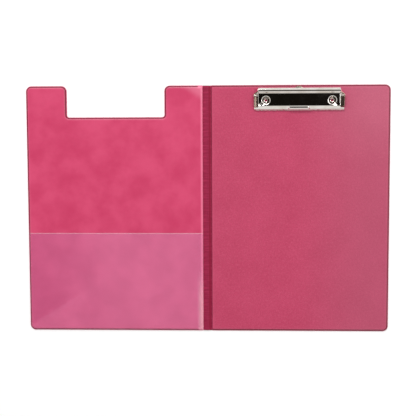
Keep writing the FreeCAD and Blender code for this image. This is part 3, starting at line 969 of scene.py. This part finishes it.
# A swept profile's own Y points down round a level ring, so its heights are turned over.
ring_radius = 2.5
turned_over = [(r - ring_radius, -z, 0) for r, z in reversed(profile)]
eyelets = line_piece("clamp_eyelet_pair", turned_over, closed=True)
tree = Tree("turned_and_placed", {"Turning Radius": ("Float", ring_radius * MM),
                                  "Spacing": ("Float", 2 * eyelet_half * MM),
                                  "Segments": ("Int", 64),
                                  "Material": ("Material", finishes["nickel"])})
inputs = tree.start.outputs
loop = tree.add("GeometryNodeMeshToCurve", Mesh=inputs["Geometry"])
ring = tree.add("GeometryNodeCurvePrimitiveCircle", Resolution=inputs["Segments"],
                Radius=inputs["Turning Radius"])
turned = tree.add("GeometryNodeCurveToMesh", Curve=ring, Profile_Curve=loop)
shift = tree.add("ShaderNodeCombineXYZ", X=inputs["Spacing"])
first_spot = tuple(c * MM for c in on_clamp(-eyelet_half, eyelet_down, -face))
spots = tree.add("GeometryNodeMeshLine", Count=2, Start_Location=first_spot, Offset=shift)
placed = tree.add("GeometryNodeInstanceOnPoints", Points=spots, Instance=turned)
tree.finish(placed, eyelets)
eyelets.data.shade_smooth()
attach(eyelets, "board")
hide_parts("clamp_eyelets")

# %% [markdown]
# ## The spring and its rod
# The spring is one wire: a foot on the base, a coil round the rod, a leg up to the thumb edge,
# straight across, and the same back down. Its crest moves with the lever while its feet stay on the
# base.

# %% Spring
coil_radius, coil_first, coil_pitch, coil_turns = 1.9, 11.0, 1.3, 4
foot, crest, wire = (22.0, 1.36), (7.6, 8.42), 0.5
reach = (crest[0] - rod_down, crest[1] - rod_up)
leave = math.atan2(reach[1], reach[0]) + math.acos(coil_radius / math.hypot(*reach))
turned_by = coil_turns * 2 * math.pi + 1.5 * math.pi - leave
coil_last = coil_first + coil_pitch * turned_by / (2 * math.pi)
half_wire = [(coil_last, foot[0] + (rod_down - foot[0]) * k / 6,
              foot[1] + (rod_up - coil_radius - foot[1]) * k / 6) for k in range(6)]
for k in range(101):
    angle = -math.pi / 2 - turned_by * k / 100
    half_wire.append((coil_last + (coil_first - coil_last) * k / 100,
                      rod_down + coil_radius * math.cos(angle), rod_up + coil_radius * math.sin(angle)))
leg_from = half_wire[-1]
bend = 2.2  # radius of the bend from each leg into the crest
leg = Vector((crest[0] - leg_from[1], crest[1] - leg_from[2]))
for k in range(1, 9):
    share = k / 8 * (1 - bend / leg.length)
    half_wire.append((coil_first, leg_from[1] + leg.x * share, leg_from[2] + leg.y * share))
for k in range(1, 9):
    angle = math.pi / 2 * k / 8
    share = 1 - bend / leg.length * (1 - math.sin(angle))
    half_wire.append((coil_first - bend * (1 - math.cos(angle)),
                      leg_from[1] + leg.x * share, leg_from[2] + leg.y * share))
half_wire += [(u, *crest) for u in (6.6, 4.4, 2.2)]
whole = [on_clamp(-u, down, up) for u, down, up in half_wire] + [on_clamp(0, *crest)]
whole += [on_clamp(u, down, up) for u, down, up in reversed(half_wire)]
spring = line_piece("clamp_spring_wire", whole)
tree = Tree("wire_along_line", {"Wire Radius": ("Float", wire * MM), "Sides": ("Int", 14),
                                "Material": ("Material", finishes["wire"])})
inputs = tree.start.outputs
line = tree.add("GeometryNodeMeshToCurve", Mesh=inputs["Geometry"])
section = tree.add("GeometryNodeCurvePrimitiveCircle", Resolution=inputs["Sides"],
                   Radius=inputs["Wire Radius"])
swept = tree.add("GeometryNodeCurveToMesh", Curve=line, Profile_Curve=section, Fill_Caps=True)
tree.finish(swept, spring)
spring.data.shade_smooth()
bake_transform(spring)
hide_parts("clamp_spring")

# %% Rod
def lathe(name, profile, place, sides=32):
    """A turned piece along X: profile lists (across, radius) from one end to the other."""
    vertices, faces = [], []
    angles = [2 * math.pi * k / sides for k in range(sides)]
    for x, radius in profile:
        vertices += [(place[0] + x, place[1] + radius * math.cos(a), place[2] + radius * math.sin(a))
                     for a in angles]
    for i in range(len(profile) - 1):
        for k in range(sides):
            a, b = i * sides + k, i * sides + (k + 1) % sides
            faces.append((a, b, b + sides, a + sides))
    faces.append(tuple(range(sides)))
    faces.append(tuple(range(len(vertices) - sides, len(vertices)))[::-1])
    return new_piece(name, vertices, faces)


end = half_size("clamp_rod", 0)
half_rod = [(end, 0.35), (end - 0.03, 0.7), (end - 0.14, 0.95), (end - 0.35, 1.1), (end - 3, 1.1)]
whole_rod = [(-x, r) for x, r in half_rod] + [(x, r) for x, r in reversed(half_rod)]
rod = lathe("clamp_rod_pin", whole_rod, (clamp_x, rod_y, rod_z))
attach(rod, "board")
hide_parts("clamp_rod")

# %% [markdown]
# ## Giving each piece its finish
# Pieces made here and the greyboards carried over from the model each get one of the finishes
# above.

# %% Finishes
finished = {"cover": ("cover_face_film", "cover_outside_film", "back_outside_film"),
            "grain": ("back_face_film",), "spine": ("spine_film_back", "spine_film_cover"),
            "clear": ("clear_pocket_film",), "dull_shaded": ("clamp_base_plate", "hanging_hook_plate"),
            "nickel": ("clamp_lever_plate", "clamp_eyelet_pair", "clamp_rod_pin"),
            "wire": ("clamp_spring_wire",)}
for finish, names in finished.items():
    for name in names:
        mesh = bpy.data.objects[name].data
        mesh.materials.clear()
        mesh.materials.append(finishes[finish])
for node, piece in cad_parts.items():
    finish = "board" if "greyboard" in node else "nickel"
    for slot in piece.material_slots:
        slot.material = finishes[finish]
print("pieces finished:", sum(len(names) for names in finished.values()))

# %% [markdown]
# ## Floor, light and camera
# Polished plate shows the room it is in. Seen from above, its flat parts mirror what is overhead
# and its slopes mirror the walls, so a room that is dark overhead and bright around gives crisp
# bright edges on a dark field.

# %% Room
world = bpy.data.worlds.new("studio")
bpy.context.scene.world = world
world.use_nodes = True
nodes, links = world.node_tree.nodes, world.node_tree.links
nodes.clear()
kinds = ("TexCoord", "VectorMath", "ValToRGB", "Background", "OutputWorld")
direction, height, ramp, background, world_output = (nodes.new("ShaderNode" + kind) for kind in kinds)
height.operation = "DOT_PRODUCT"
height.inputs[1].default_value = Vector((-0.10, -0.07, 1.0)).normalized()
links.new(direction.outputs["Generated"], height.inputs[0])
links.new(height.outputs["Value"], ramp.inputs[0])
links.new(ramp.outputs[0], background.inputs[0])
links.new(background.outputs[0], world_output.inputs[0])
stops = [(0.0, 0.95), (0.55, 0.98), (0.80, 0.88), (0.92, 0.18), (0.96, 0.006)]
while len(ramp.color_ramp.elements) < len(stops):
    ramp.color_ramp.elements.new(0.5)
for element, (place, level) in zip(ramp.color_ramp.elements, stops):
    element.position = place
    element.color = (level, level ** 1.06, level ** 1.12, 1)
background.inputs["Strength"].default_value = 0.95

floor_half, floor_level = 3.0, -0.0004
floor_mesh = bpy.data.meshes.new("floor")
floor_corners = [(x * floor_half, y * floor_half, floor_level)
                 for x, y in ((-1, -1), (1, -1), (1, 1), (-1, 1))]
floor_mesh.from_pydata(floor_corners, [], [(0, 1, 2, 3)])
floor = show("floor", floor_mesh)
pale = Paint("pale floor", Roughness=0.9, Specular_IOR_Level=0.1)
pale.connect("Base Color", pale.mix(pale.speckle(3.0), tone(0.93, 0.93, 0.93), tone(0.95, 0.95, 0.95)))
floor_mesh.materials.append(pale.material)


def area_light(name, place, size, power, target=(0.0, 0.0, 0.0)):
    light = bpy.data.lights.new(name, "AREA")
    light.shape, light.size, light.size_y, light.energy = "RECTANGLE", size[0], size[1], power
    lamp = show(name, light)
    lamp.location = place
    lamp.rotation_euler = (Vector(target) - Vector(place)).to_track_quat("-Z", "Y").to_euler()


area_light("key light", (-0.35, 1.45, 1.5), (0.8, 0.5), 23.0)
area_light("side light", (0.75, 0.42, 1.6), (0.6, 0.5), 5.8, target=(0.2, 0.1, 0.0))

# %% Camera
camera_data = bpy.data.cameras.new("camera")
camera_data.lens = 80.13
camera_data.sensor_width = 36.0
camera_data.clip_start = 0.01
camera = show("camera", camera_data)
camera.location = (0.0495, 0.1068, 1.2)
camera.rotation_euler = [math.radians(a) for a in (-5.015, 2.308, -0.219)]
bpy.context.scene.camera = camera
bpy.context.scene.view_settings.view_transform = "Standard"
